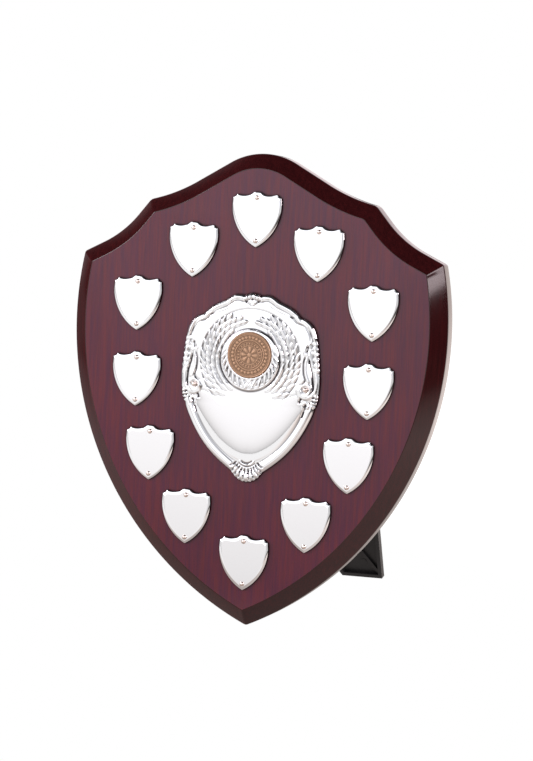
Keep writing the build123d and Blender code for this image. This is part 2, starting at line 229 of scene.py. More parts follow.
# ---- materials ----
class Nodes:
    """A node tree under construction."""

    def __init__(self, tree):
        self.tree = tree

    def node(self, kind, **settings):
        made = self.tree.nodes.new("ShaderNode" + kind)
        for key, value in settings.items():
            setattr(made, key, value)
        return made

    def give(self, socket, value):
        """Another node's output, a colour, a vector or a number for an input."""
        if hasattr(value, "is_linked"):
            self.tree.links.new(value, socket)
        elif isinstance(value, tuple):
            socket.default_value = (*value, 1.0)
        else:
            socket.default_value = value

    def feed(self, node, **values):
        """Values for a node's inputs by name."""
        for name, value in values.items():
            self.give(node.inputs[name.replace("_", " ")], value)

    def noise(self, drawn, scale, detail, rough, distortion=0.0, turn=LEAN):
        """Noise squared to the board; drawn under 1 draws it out along the board's height."""
        source = self.node("TexCoord")
        square = self.node("Mapping")
        self.feed(square, Vector=source.outputs["Object"], Rotation=Vector((turn, 0, 0)))
        stretch = self.node("Mapping")
        self.feed(stretch, Vector=square.outputs[0], Scale=Vector((1, 1, drawn)))
        made = self.node("TexNoise")
        self.feed(made, Vector=stretch.outputs[0], Scale=scale, Detail=detail)
        self.feed(made, Roughness=rough, Distortion=distortion)
        return made.outputs["Fac"]

    def ramp(self, value, stops):
        """A colour ramp from (place, colour) pairs."""
        made = self.node("ValToRGB")
        while len(made.color_ramp.elements) < len(stops):
            made.color_ramp.elements.new(0.5)
        for element, (place, colour) in zip(made.color_ramp.elements, stops):
            element.position = place
            element.color = (*colour, 1.0)
        self.feed(made, Fac=value)
        return made.outputs["Color"]

    def span(self, value, low, high, from_low=0.0, from_high=1.0, kind="LINEAR"):
        """low at from_low and below, high at from_high and above."""
        made = self.node("MapRange", interpolation_type=kind)
        self.feed(made, From_Min=from_low, From_Max=from_high, To_Min=low, To_Max=high, Value=value)
        return made.outputs["Result"]

    def mix(self, factor, a, b, blend="MIX"):
        made = self.node("Mix", data_type="RGBA", blend_type=blend)
        for index, value in ((0, factor), (6, a), (7, b)):
            self.give(made.inputs[index], value)
        return made.outputs[2]

    def maths(self, operation, a, b=0.0):
        made = self.node("Math", operation=operation)
        self.give(made.inputs[0], a)
        self.give(made.inputs[1], b)
        return made.outputs[0]

    def times(self, a, b):
        return self.maths("MULTIPLY", a, b)

    def azimuth(self, x, y):
        """Degrees round the plaque, 0 in front of it and 90 to its right."""
        return self.times(self.maths("ARCTAN2", x, self.times(y, -1.0)), math.degrees(1))


class Look(Nodes):
    """A surface material under construction."""

    def __init__(self, name):
        self.material = bpy.data.materials.new(name)
        self.material.use_nodes = True
        super().__init__(self.material.node_tree)
        self.shader = self.tree.nodes["Principled BSDF"]

    def bump(self, height, strength, distance, target="Normal"):
        made = self.node("Bump")
        self.feed(made, Strength=strength, Distance=distance, Height=height)
        self.give(self.shader.inputs[target], made.outputs["Normal"])

    def set(self, **values):
        self.feed(self.shader, **values)


# Reach, occlusion span and colour of the painted contact shadow on the wood
PAINTED_SHADOW_REACH = 0.0016
PAINTED_SHADOW_SPAN = (0.42, 0.90)
PAINTED_SHADOW_COLOUR = (0.004, 0.0006, 0.001)
# Colour of the painted shade on metal hollows and walls
PAINTED_SHADE = (0.06, 0.05, 0.055)


def wood(name, dark, mid, light, coat, coat_rough):
    """Stained board under satin lacquer: long streaks, fine pores, a smooth top coat, and a
    painted contact shadow close to whatever stands on it: darker colour and less lacquer."""
    look = Look(name)
    streaks = look.noise(0.06, 620.0, 3.0, 0.6, 0.1)
    clouds = look.noise(0.3, 28.0, 2.0, 0.5)
    pores = look.noise(0.03, 1500.0, 2.0, 0.5)
    base = look.ramp(streaks, [(0.36, dark), (0.5, mid), (0.64, light)])
    shade = look.span(clouds, 0.93, 1.07, 0.3, 0.7)
    fleck = look.span(pores, 0.90, 1.04, 0.30, 0.55)
    toned = look.mix(1.0, base, shade, "MULTIPLY")
    colour = look.mix(1.0, toned, fleck, "MULTIPLY")
    # Painted contact shadow: ambient occlusion within a short reach darkens the colour and thins the
    # lacquer
    shadow_probe = look.node("AmbientOcclusion", samples=8)
    look.feed(shadow_probe, Distance=PAINTED_SHADOW_REACH)
    coat_outside_shadow = look.span(shadow_probe.outputs["AO"], 0.0, coat, *PAINTED_SHADOW_SPAN)
    open_share = look.span(shadow_probe.outputs["AO"], 0.0, 1.0, *PAINTED_SHADOW_SPAN)
    colour = look.mix(open_share, PAINTED_SHADOW_COLOUR, colour)
    look.set(Base_Color=colour, Roughness=0.6, Specular_IOR_Level=0.0)
    look.set(Coat_Weight=coat_outside_shadow, Coat_Roughness=coat_rough, Coat_IOR=1.5)
    look.bump(pores, 0.06, 0.00008)
    ripple = look.noise(0.4, 60.0, 2.0, 0.5)
    look.bump(ripple, 0.03, 0.0004, "Coat Normal")
    return look.material


def metal(name, colour, tint, rough_low, rough_high, scratch):
    """Polished or plated metal with faint handling marks, and painted shade where its mesh is marked
    recessed.
    """
    look = Look(name)
    haze = look.noise(1, 90.0, 4.0, 0.6)
    lines = look.noise(0.06, 2600.0, 2.0, 0.5)
    # Painted shade: the recess attribute mixes a dark colour into plate hollows and walls
    recess = look.node("Attribute", attribute_name="recess")
    polished = look.mix(haze, colour, tint)
    look.set(Base_Color=look.mix(recess.outputs["Fac"], polished, PAINTED_SHADE), Metallic=1.0)
    look.set(Roughness=look.span(haze, rough_low, rough_high, 0.3, 0.7))
    look.bump(lines, scratch, 0.00002)
    return look.material


def bronze(name, colour, tint, recess):
    """Antique bronze: satin high spots and a darker patina in the hollows."""
    look = Look(name)
    mottle = look.noise(1, 900.0, 4.0, 0.6)
    worn = look.node("Attribute", attribute_name="worn")
    open_share = look.span(worn.outputs["Fac"], 0.35, 1.0, 0.0, 0.8)
    bright = look.mix(mottle, colour, tint)
    look.set(Base_Color=look.mix(open_share, recess, bright), Metallic=0.45)
    look.set(Roughness=look.span(mottle, 0.38, 0.52, 0.3, 0.7))
    look.bump(mottle, 0.25, 0.00012)
    return look.material


def plastic(name, colour, light):
    """Satin moulded plastic with a fine spark-eroded grain."""
    look = Look(name)
    grain = look.noise(1, 3200.0, 2.0, 0.5)
    flow = look.noise(0.5, 45.0, 3.0, 0.5)
    look.set(Base_Color=look.mix(look.span(flow, 0, 1, 0.35, 0.65), colour, light))
    look.set(Roughness=look.span(flow, 0.38, 0.5, 0.3, 0.7), Specular_IOR_Level=0.4)
    look.bump(grain, 0.15, 0.00006)
    return look.material


WOOD_FACE = wood(
    "wood_face", (0.058, 0.0050, 0.0215), (0.071, 0.0063, 0.0185), (0.085, 0.0075, 0.0155), 1.0, 0.09
)
WOOD_EDGE = wood(
    "wood_edge", (0.021, 0.0016, 0.0022), (0.026, 0.0022, 0.0028), (0.032, 0.0028, 0.0034), 1.0, 0.12
)
WOOD_BACK = wood(
    "wood_back", (0.030, 0.006, 0.007), (0.045, 0.009, 0.010), (0.060, 0.014, 0.014), 0.3, 0.35
)
SILVER = metal("silver_plate", (0.955, 0.945, 0.955), (0.94, 0.93, 0.94), 0.05, 0.09, 0.0)
NICKEL = metal("nickel_pin", (0.88, 0.76, 0.70), (0.84, 0.71, 0.65), 0.08, 0.14, 0.0)
BRONZE = bronze("struck_bronze", (0.52, 0.32, 0.20), (0.40, 0.24, 0.145), (0.085, 0.045, 0.025))
STEEL = metal("bright_steel", (0.62, 0.62, 0.63), (0.52, 0.52, 0.54), 0.22, 0.34, 0.2)
ZINC = metal("zinc_plating", (0.66, 0.62, 0.50), (0.58, 0.58, 0.56), 0.28, 0.42, 0.1)
BRASSED = metal("brass_plating", (0.72, 0.52, 0.22), (0.60, 0.42, 0.17), 0.20, 0.34, 0.1)
BLACK_PLASTIC = plastic("black_plastic", (0.009, 0.009, 0.010), (0.014, 0.014, 0.015))
FOAM = plastic("foam_tape", (0.72, 0.72, 0.68), (0.80, 0.80, 0.77))


# ---- backboard ----
# Heights in the outline are measured up the board's face from its tip.
BOARD_CORNERS = [
    ((0, 0), 3.0, 185.0, 90),
    ((105.7, 207.6), 2.5, 0, 4),
    ((93.97, 213.4), 0.0, -63.0, 14),
    ((72.85, 230.5), 0.0, 0, 3),
    ((66.3, 238.5), 5.0, -99.0, 16),
    ((37.0, 250.2), 0.0, 0, 5),
    ((20.0, 260.0), 0.0, 38.6, 12),
]
BOARD_TOP = (0, 265.6)
TIP_BELOW = 153.2
BEVEL_W = 8.6
BEVEL_D = 7.5
BACK_MARGIN = 6.0
BACK_CUT = 0.3
ARRIS_R = 1.3
FACE_EDGE_R = 0.9
FACE_SOFTNESS = 0.6
ROUND_STEPS = 5
KEYHOLE_MID = 230.0
KEYHOLE_RISE = 8.0
POCKET_R = 6.5
POCKET_DEPTH = 8.0


def board_profile():
    """(inset, height above the back, corner softness) from the back face to the front face."""
    wall_top = BOARD_T - BEVEL_D
    slope = math.atan2(BEVEL_D, BEVEL_W)
    rows = [(BACK_MARGIN, 0.0, 1.0), (BACK_CUT, 0.0, 1.0), (0.0, BACK_CUT, 1.0)]
    turn = math.pi / 2 - slope
    cut = ARRIS_R * math.tan(turn / 2)
    for step in range(ROUND_STEPS + 1):
        a = turn * step / ROUND_STEPS
        rows.append((ARRIS_R * (1 - math.cos(a)), wall_top - cut + ARRIS_R * math.sin(a), 1.0))
    lift = FACE_EDGE_R * math.tan(slope / 2)
    for step in range(ROUND_STEPS + 1):
        a = slope * (1 - step / ROUND_STEPS)
        inset = BEVEL_W + lift - FACE_EDGE_R * math.sin(a)
        rows.append((inset, BOARD_T - FACE_EDGE_R * (1 - math.cos(a)), FACE_SOFTNESS))
    return rows


def back_face(ring, first):
    """The back face round the routed keyhole pocket, the pocket's wall and its floor.

    ring is the back face's outline, whose points come first; first numbers the added points."""
    middle = KEYHOLE_MID - TIP_BELOW
    upper = arc_line((0, middle + KEYHOLE_RISE / 2), POCKET_R, 0, 180, 16)
    lower = arc_line((0, middle - KEYHOLE_RISE / 2), POCKET_R, 180, 360, 16)
    hole = np.vstack((upper, lower))
    flat = [[Vector((x, y, 0)) for x, y in outline] for outline in (ring, hole)]
    corners = flat[0] + flat[1]
    number = list(range(len(ring))) + list(range(first, first + len(hole)))
    faces = []
    for a, b, c in tessellate_polygon(flat):
        turns = (corners[b] - corners[a]).cross(corners[c] - corners[a]).z
        order = (a, b, c) if turns < 0 else (a, c, b)
        faces.append(tuple(number[i] for i in order))
    deep = first + len(hole)
    for i in range(len(hole)):
        j = (i + 1) % len(hole)
        faces.append((deep + i, deep + j, first + j, first + i))
    faces.append(tuple(range(deep + len(hole) - 1, deep - 1, -1)))
    points = np.vstack((at_height(hole, -BOARD_T), at_height(hole, POCKET_DEPTH - BOARD_T)))
    return points, faces


def backboard():
    """The bevelled board, with the routed pocket in its back."""
    loop = closed_outline(BOARD_CORNERS, BOARD_TOP, 8)
    below = np.array((0, TIP_BELOW))
    rows = board_profile()
    rings = [at_height(loop(inset, soft) - below, height - BOARD_T) for inset, height, soft in rows]
    count = len(rings[0])
    side_faces = loft_faces(len(rows), count, False)
    front = tuple(range(count * (len(rows) - 1), count * len(rows)))
    pocket, back_faces = back_face(rings[0][:, :2], count * len(rows))
    face, edge, back = range(3)
    slots = [back] * count + [edge] * (len(side_faces) - count) + [face] + [back] * len(back_faces)
    piece = add_piece(
        "backboard_finished", np.vstack(rings + [pocket]), side_faces + [front] + back_faces,
        [WOOD_FACE, WOOD_EDGE, WOOD_BACK], slots
    )
    stand_for(piece, "backboard", 35)


# ---- side shields ----
SHIELD_CREST = 15.2
SHIELD_CORNERS = [
    ((0, -15.5), 0.8, 26.8, 40),
    ((14.4, 8.0), 6.0, 0, 4),
    ((14.1, 12.1), 0.5, -3.0, 6),
    ((11.8, 13.9), 0.4, -14.0, 12),
    ((4.2, 13.5), 2.0, 0, 3),
    ((1.8, SHIELD_CREST), 3.0, 0, 2),
]
SHIELD_RIM_START = 0.10
SHIELD_RIM_STEP = 0.15
SHIELD_RIM_SLOPES = (34, 31, 28, 25, 22, 19, 16, 13, 10, 8)


def shield_profile(top):
    """(inset, height) from the foot of the wall over the rolled rim to the flat top."""
    rim = [(SHIELD_RIM_START, 0.0)]
    for slope in SHIELD_RIM_SLOPES:
        inset, height = rim[-1]
        rise = SHIELD_RIM_STEP * math.tan(math.radians(slope))
        rim.append((inset + SHIELD_RIM_STEP, height + rise))
    drop = top - rim[-1][1]
    wall = [(0.0, FOOT_H), (0.0, drop - 0.12), (0.03, drop - 0.05)]
    return wall + [(inset, height + drop) for inset, height in rim]


def side_shields():
    """Twelve pressed shields with rolled rims; their walls carry a painted shade for the dark wood they
    reflect and the shadow beside them.
    """
    loop = closed_outline(SHIELD_CORNERS, (0, SHIELD_CREST), 9)
    nodes = [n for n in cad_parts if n.startswith("side_shield_") and not n.endswith("_pins")]
    for node in sorted(nodes):
        low, high = board_box(node)
        middle = np.array(((low[0] + high[0]) / 2, high[1] - SHIELD_CREST))
        rings = [at_height(loop(inset) + middle, height) for inset, height in shield_profile(high[2])]
        count = len(rings[0])
        faces = loft_faces(len(rings), count, True)
        piece = add_piece(node.replace("side_", "pressed_"), np.vstack(rings), faces, [SILVER])
        # Painted shade on the two wall rows, standing in for reflected dark wood and the contact shadow
        dark = [1.0, 1.0] + [0.0] * (len(rings) - 2)
        set_values(piece, "recess", np.repeat(dark, count))
        stand_for(piece, node, 4.5)


# ---- centre plate ----
# Drawn for the right-hand side and mirrored.
PLATE_PITCH = 0.3
PLATE_LOWEST = 0.5
RING_MID = (0.0, -3.3)
RING_R = 29.4
BOSS_MID = (0.0, -2.8)
BOSS_R = 17.1
SEAT_R = 12.7
SEAT_H = 3.3
SEAT_HOLE_R = 11.5
BRANCH_R = 22.8
EDGE_H = 1.8
BOSS_H = 3.9
FAN_MID = (0.0, -56.2)
HOLLOW_REACH = 4


def smooth_line(points, steps=6):
    """A curve through the points."""
    p = np.asarray(points, float)
    padded = np.vstack((2 * p[0] - p[1], p, 2 * p[-1] - p[-2]))
    t = np.arange(steps)[:, None] / steps
    parts = []
    for a, b, c, d in zip(padded, padded[1:], padded[2:], padded[3:]):
        curve = 2 * b + (c - a) * t + (2 * a - 5 * b + 4 * c - d) * t**2
        parts.append((curve + (3 * b - a - 3 * c + d) * t**3) / 2)
    parts.append(p[-1:])
    return np.vstack(parts)


def arc_line(middle, radius, first, last, steps):
    angle = np.radians(np.linspace(first, last, steps))
    return np.column_stack((middle[0] + radius * np.cos(angle), middle[1] + radius * np.sin(angle)))


def ease(value, low, high):
    """0 below low, 1 above high and smooth in between."""
    t = np.clip((value - low) / (high - low), 0, 1)
    return t * t * (3 - 2 * t)


def hump(value, low, high, power=1.0):
    """A rounded rise between low and high, 0 outside and 1 in the middle."""
    wave = np.sin(math.pi * np.clip((value - low) / (high - low), 0, 1))
    return np.clip(wave, 0, 1) ** power


def bell(value, half):
    """1 at 0, falling smoothly to 0 at half on either side."""
    return 0.5 + 0.5 * np.cos(np.pi * np.clip(value / half, -1, 1))


def dome(distance, radius):
    """A half ball's height over its radius, 0 outside it."""
    return np.sqrt(np.clip(1 - (distance / radius) ** 2, 0, 1))


def marks_along(line):
    """The length along a polyline up to each of its points."""
    return np.concatenate(((0.0,), np.cumsum(np.hypot(*(line[1:] - line[:-1]).T))))


def distance_to(line, x, y):
    """Distance to a polyline and the place along it, 0 at its start and 1 at its end."""
    best = np.full(x.shape, 1e9)
    place = np.zeros(x.shape)
    marks = marks_along(line)
    for (ax, ay), (bx, by), start in zip(line, line[1:], marks):
        dx, dy = bx - ax, by - ay
        t = np.clip(((x - ax) * dx + (y - ay) * dy) / (dx * dx + dy * dy), 0, 1)
        gap = np.hypot(x - ax - t * dx, y - ay - t * dy)
        nearer = gap < best
        best = np.where(nearer, gap, best)
        place = np.where(nearer, start + t * math.hypot(dx, dy), place)
    return best, place / marks[-1]


def snapped(points, line):
    """Points moved to the nearest place on a polyline."""
    marks = marks_along(line)
    place = distance_to(line, *points.T)[1] * marks[-1]
    return np.column_stack([np.interp(place, marks, line[:, axis]) for axis in (0, 1)])


def inside_of(line, x, y):
    """True where a point lies inside a polyline that ends where it starts."""
    hit = np.zeros(x.shape, bool)
    for (ax, ay), (bx, by) in zip(line, line[1:]):
        if ay == by:
            continue
        crosses = (ay > y) != (by > y)
        hit ^= crosses & (x < ax + (bx - ax) * (y - ay) / (by - ay))
    return hit


def scallops(marks, bulges, shares, lean):
    """Bulges down an edge from each mark to the next, on the line where x is lean(y)."""
    points = []
    for high, low, bulge in zip(marks, marks[1:], bulges):
        for share in shares:
            y = high + (low - high) * share
            points.append((lean(y) + bulge * math.sin(math.pi * share), y))
    return np.array(points)


def edge_beads(y):
    return 38.1 + 2.0 * (9.2 - y) / 17.6


def edge_flutes(y):
    return 39.9 - 2.1 * ((20.6 + y) / -7.4) ** 2


def fan_edge():
    """The fluted edge of the bottom fan, down to the plate's lowest point."""
    points = []
    for step in range(5):
        a, b = 62 - 14 * step, 62 - 14 * (step + 1)
        for share in (0.35, 0.65, 1.0):
            turn = math.radians(a + (b - a) * share)
            reach = 11.4 + 0.45 * math.sin(math.pi * share)
            points.append((reach * math.sin(turn) * 0.88, -59.6 - reach * math.cos(turn) * 0.97))
    return np.array([p for p in points if p[0] > 0.05] + [(0.0, -70.9)])


def plate_edge():
    """The scalloped outline from the top middle down the right side and back up to its start."""
    crest_edge = [(0, 34.3), (1.0, 34.6), (2.1, 34.0), (2.9, 34.0), (4.0, 33.6), (4.9, 32.9)]
    lobes = [
        [(4.9, 32.9), (7.0, 33.5), (10.5, 33.3), (13.6, 31.6), (15.9, 29.9)],
        [(15.9, 29.9), (20.0, 28.2), (23.6, 26.4), (26.4, 24.1), (28.6, 21.7)],
        [(28.6, 21.7), (31.8, 20.6), (34.7, 18.4), (36.9, 15.0), (38.0, 11.6), (38.3, 9.2)],
    ]
    bead_marks = (9.2, 6.4, 3.6, 0.8, -2.2, -5.2, -8.4)
    beads = scallops(bead_marks, (0.5, 0.55, 0.6, 0.6, 0.6, 0.5), (0.25, 0.5, 0.75, 1.0), edge_beads)
    side = [(40.1, -8.4), (40.5, -11.5), (40.4, -15.0), (40.2, -18.4), (39.9, -20.6)]
    flute_marks = (-20.6, -22.4, -24.4, -26.3, -28.0)
    flutes = scallops(flute_marks, (0.35,) * 4, (0.33, 0.67, 1.0), edge_flutes)
    lower = [
        flutes[-1], (37.2, -30.6), (35.4, -35.0), (32.1, -41.4), (27.9, -47.9), (22.9, -53.9),
        (17.9, -58.6), (12.9, -62.5), (8.4, -65.6),
    ]
    half = [smooth_line(crest_edge, 4)] + [smooth_line(lobe)[1:] for lobe in lobes]
    half += [beads, smooth_line(side, 5)[1:], flutes, smooth_line(lower)[1:], fan_edge()]
    half = np.vstack(half)
    other = half[-2::-1] * np.array((-1, 1))
    return np.vstack((half, other))


class Relief:
    """A height field over the plate, in millimetres above the board."""

    def __init__(self, edge, pitch):
        low, high = edge.min(0) - 2 * pitch, edge.max(0) + 2 * pitch
        columns = np.arange(low[0], high[0], pitch)
        rows = np.arange(low[1], high[1], pitch)
        self.x, self.y = np.meshgrid(columns, rows)
        self.ax = np.abs(self.x)
        self.inset = distance_to(edge, self.x, self.y)[0]
        self.within = inside_of(edge, self.x, self.y)
        self.inset[~self.within] *= -1
        self.height = np.zeros(self.x.shape)

    def near(self, line, reach):
        """Grid windows round a line on the right side and round its mirror image."""
        for side in (1, -1):
            turned = line * np.array((side, 1))
            low, high = turned.min(0) - reach, turned.max(0) + reach
            rows = np.flatnonzero((self.y[:, 0] >= low[1]) & (self.y[:, 0] <= high[1]))
            columns = np.flatnonzero((self.x[0] >= low[0]) & (self.x[0] <= high[0]))
            if len(rows) and len(columns):
                yield turned, slice(rows[0], rows[-1] + 1), slice(columns[0], columns[-1] + 1)

    def groove(self, line, width, depth):
        """A rounded groove, tapering off at both ends."""
        for turned, rows, columns in self.near(line, width):
            gap, place = distance_to(turned, self.x[rows, columns], self.y[rows, columns])
            fade = ease(place, 0, 0.12) * ease(1 - place, 0, 0.12)
            self.height[rows, columns] -= depth * bell(gap, width / 2) * fade

    def curved_groove(self, points, width, depth):
        """A groove along the curve through the points."""
        self.groove(smooth_line(points), width, depth)

    def cord(self, line, width, rise, start=1.0, end=1.0):
        """A half-round cord laid on the surface; its width runs from start to end shares."""
        for turned, rows, columns in self.near(line, width):
            gap, place = distance_to(turned, self.x[rows, columns], self.y[rows, columns])
            half = width / 2 * (start + (end - start) * place)
            self.height[rows, columns] += dome(gap, half) * rise * half / (width / 2)

    def settle(self):
        """Takes the surface as it is now as the one that the next leaves lie on."""
        self.ground = self.height.copy()

    def leaf(self, x, y, angle, length, width, low, high, power=0.8):
        """A pointed leaf with a raised midrib, its tip standing higher than its root."""
        c, s = math.cos(angle), math.sin(angle)
        line = np.array(((x, y), (x + length * c, y + length * s)))
        for turned, rows, columns in self.near(line, width):
            side = math.copysign(1.0, turned[0, 0]) if abs(turned[0, 0]) > 1e-9 else 1.0
            across_x = self.x[rows, columns] - turned[0, 0]
            across_y = self.y[rows, columns] - turned[0, 1]
            along = (across_x * c * side + across_y * s) / length
            across = np.abs(-across_x * s + across_y * c * side)
            inside = np.clip(along, 0, 1)
            half = width / 2 * np.sin(math.pi * inside**0.75) ** 0.8 + 1e-6
            share = np.clip(1 - across / half, 0, 1)
            target = self.ground[rows, columns] + share**power * (low + (high - low) * inside)
            lies = (along > 0) & (along < 1) & (share > 0)
            window = self.height[rows, columns]
            window[lies] = np.maximum(window[lies], target[lies])

    def bead(self, x, y, radius, rise):
        line = np.array(((x, y), (x, y + 1e-3)))
        for turned, rows, columns in self.near(line, radius):
            gap = np.hypot(self.x[rows, columns] - turned[0, 0], self.y[rows, columns] - y)
            self.height[rows, columns] += dome(gap, radius) * rise


def plate_ground(r):
    """The rolled rim, the smooth panel and the recessed field behind the laurel."""
    s = r.inset
    lower = ease(-r.y, 22.0, 28.0)
    lobes = ease(r.y, 8.5, 11.5)
    edge = EDGE_H + 0.2 * ease(s, -0.2, 1.0)
    low_roll = 0.85 * hump(s, 0.2, 5.0) - 0.08 * hump(s, 4.5, 5.5)
    top_roll = 0.95 * hump(s, 0.1, 3.3) - 0.19 * hump(s, 2.7, 4.2)
    side_roll = 0.3 * hump(s, 0.2, 2.4)
    upper_roll = side_roll + (top_roll - side_roll) * lobes
    rounding = 0.77 * (np.hypot(r.x, 6.0) - r.ax) * ease(-r.y, 30, 45)
    swell_from = 2.4 + 2.4 * lower + rounding
    swell = 1.1 * (1 - np.exp(-np.clip(s - swell_from, 0, None) / 2.8))
    r.height = edge + upper_roll + (low_roll - upper_roll) * lower + swell
    ring = np.hypot(r.x - RING_MID[0], r.y - RING_MID[1])
    turn = np.degrees(np.arctan2(r.y - RING_MID[1], r.ax))
    shows = ease(turn, -60, -40)
    r.height -= 0.35 * ease(RING_R - ring, -0.4, 0.4) * shows
    r.height -= 0.12 * hump(ring, RING_R - 0.7, RING_R + 0.3) * shows
    field = np.clip(1 - (ring / 31.0) ** 2, 0, None) ** 1.5
    r.height += 0.6 * field * ease(r.y, -14, 4)


def plate_boss(r):
    """The crescent round the medallion, its two border lines and the lip that holds the disc."""
    from_edge = BOSS_R - np.hypot(r.x - BOSS_MID[0], r.y - BOSS_MID[1])
    radius = np.hypot(r.x, r.y)
    r.height += (BOSS_H - r.height) * ease(from_edge, -0.3, 0.5)
    r.height += 0.22 * bell(from_edge - 0.3, 0.7)
    r.height += 0.16 * bell(from_edge - 1.6, 0.5)
    r.height += 0.4 * bell(radius - SEAT_R - 0.5, 1.1)
    r.height = np.where(radius < SEAT_R - 0.15, SEAT_H, r.height)


def boss_leaves(r):
    """Slanting leaves round the crescent, longest at the bottom."""
    r.settle()
    near = SEAT_R + 1.0
    for step in range(8):
        turn = math.radians(6 - 12.5 * step)
        low = turn - math.radians(17)
        far = BOSS_MID[1] * math.sin(low) + math.sqrt(
            (BOSS_R - 0.8) ** 2 - (BOSS_MID[1] * math.cos(low)) ** 2
        )
        start = np.array((near * math.cos(turn), near * math.sin(turn)))
        end = np.array((far * math.cos(low), far * math.sin(low)))
        length = float(np.hypot(*(end - start)))
        heading = math.atan2(end[1] - start[1], end[0] - start[0])
        r.leaf(start[0], start[1], heading, length, 1.7 + 0.12 * step, 0.45, 0.65, 0.6)
        r.groove(np.array((start, end)) + (0.7, 0.5), 0.9, 0.3)


def laurel(r):
    """Two branches, four rows of overlapping leaves that spread outwards on the way up."""
    r.settle()
    spread = math.radians(9.4)
    for step in range(14):
        shrink = 1.0 - 0.25 * max(0, step - 9) / 4
        for row, offset in enumerate((-3.6, -1.3, 1.1, 3.4)):
            if step > 11 and row in (0, 3):
                continue
            sway = math.sin(7.3 * step + 2.1 * row)
            turn = math.radians(-60 + 2.5 * row) + spread * (step + 0.5 * (row % 2))
            reach = BRANCH_R + offset * shrink
            x, y = RING_MID[0] + reach * math.cos(turn), RING_MID[1] + reach * math.sin(turn)
            heading = turn + math.radians(99 - 9 * row + 5 * sway)
            r.leaf(x, y, heading, (7.6 + 0.9 * sway) * shrink, 2.9, 0.1, 1.1, 0.75)


def crest(r):
    """Buds at the top over a pointed neck."""
    r.curved_groove([(5.4, 31.2), (3.4, 29.4), (1.6, 27.9), (0.0, 27.0)], 1.0, 0.5)
    r.settle()
    for x, y, angle, length in ((0.9, 28.6, 84, 5.6), (1.5, 29.4, 56, 5.0)):
        r.leaf(x, y, math.radians(angle), length, 2.0, 0.2, 0.8)


def lobe_scrolls(r):
    """Lines that follow the upper lobes."""
    for points, width, depth in (
        ([(5.0, 31.3), (8.0, 31.2), (11.0, 30.8), (12.8, 29.6)], 1.2, 0.3),
        ([(12.6, 29.4), (17.0, 27.2), (21.5, 25.0), (24.6, 23.3), (27.4, 21.6)], 1.2, 0.35),
        ([(10.1, 28.8), (12.2, 26.4), (16.0, 24.3), (20.5, 22.8), (26.0, 21.4)], 1.1, 0.35),
        ([(27.5, 20.9), (30.4, 19.4), (33.2, 17.0), (34.7, 13.4), (36.4, 8.6)], 1.6, 0.5),
    ):
        r.curved_groove(points, width, depth)


def side_scroll(r):
    """The long leaf, the volute round the pin and the curl under it."""
    r.cord(arc_line((35.3, 7.2), 1.3, 20, 250, 14), 1.0, 0.35)
    r.curved_groove([(33.6, 6.8), (33.4, 4.4), (32.9, 2.6)], 1.3, 0.5)
    r.cord(smooth_line([(32.6, 7.2), (31.4, 3.8), (31.9, 1.8), (33.0, 2.2)]), 1.0, 0.3)
    stem = smooth_line([
        (34.4, 3.0), (35.2, -1.0), (36.8, -5.0), (38.2, -10.0), (38.6, -14.5), (37.9, -18.6),
        (36.0, -21.2), (33.0, -22.2), (30.0, -21.0), (28.9, -18.2),
    ])
    r.cord(stem, 2.4, 0.55, 0.5, 1.0)
    leaf_side = smooth_line([(33.4, 1.6), (32.3, -3.5), (32.6, -8.5), (34.2, -13.2)])
    r.cord(leaf_side, 1.6, 0.35, 0.5, 1.0)
    stem_hollow = [
        (34.3, 0.6), (34.8, -4.0), (36.2, -9.0), (36.8, -13.0), (36.9, -17.4), (35.6, -20.0),
    ]
    r.curved_groove(stem_hollow, 1.4, 0.8)
    leaf_hollow = [
        (32.4, 1.4), (31.2, -3.5), (31.4, -8.8), (32.4, -12.4), (31.0, -14.6), (28.9, -15.6),
    ]
    r.curved_groove(leaf_hollow, 1.1, 0.6)
    r.cord(arc_line((32.7, -17.7), 2.9, 50, 400, 28), 2.2, 0.55, 0.8, 1.0)
    r.curved_groove([(28.0, -20.6), (25.4, -21.4), (23.2, -22.6)], 1.0, 0.3)
    r.cord(arc_line((33.0, -26.6), 1.6, -40, 230, 16), 1.4, 0.45)
    r.curved_groove([(30.9, -22.8), (29.9, -23.6), (29.6, -25.6)], 2.0, 0.8)
    r.curved_groove([(32.0, -29.6), (31.6, -31.4), (30.9, -33.6)], 1.5, 0.6)
    r.curved_groove([(35.4, -24.4), (35.4, -27.2), (34.6, -29.4)], 1.2, 0.5)


def side_beads(r):
    """Beads and flutes between the scrolls and the edge."""
    for x, y, size in ((36.9, 5.2, 0.9), (37.6, 2.3, 1.1), (36.2, 3.0, 0.7), (38.6, 1.0, 0.9),
                       (37.5, -0.8, 1.0), (39.0, -1.8, 0.9), (38.0, -4.0, 1.1), (39.5, -4.6, 0.8),
                       (38.9, -6.9, 1.0)):
        r.bead(x, y, size, 0.34)
    for y in (-21.4, -23.3, -25.3):
        r.cord(np.array(((36.6, y + 0.4), (39.4, y))), 1.5, 0.4, 0.6, 1.0)
    for y in (-22.3, -24.3, -26.3):
        r.groove(np.array(((36.4, y + 0.6), (39.6, y))), 1.1, 0.4)


def bottom_fan(r):
    """A collar and its flutes at the bottom."""
    r.groove(arc_line(FAN_MID, 4.4, -96, -40, 12), 1.0, 0.35)
    r.cord(arc_line(FAN_MID, 5.3, -90, -40, 14), 1.4, 0.5)
    r.groove(arc_line(FAN_MID, 6.4, -96, -36, 12), 1.0, 0.4)
    for step in range(5):
        turn = math.radians(-90 + 7.5 + 12.5 * step)
        c, s = math.cos(turn), math.sin(turn)
        near, far = 6.8, 14.2 - 0.6 * step
        line = np.array(((near * c, FAN_MID[1] + near * s), (far * c, FAN_MID[1] + far * s)))
        r.groove(line, 1.3, 0.75)


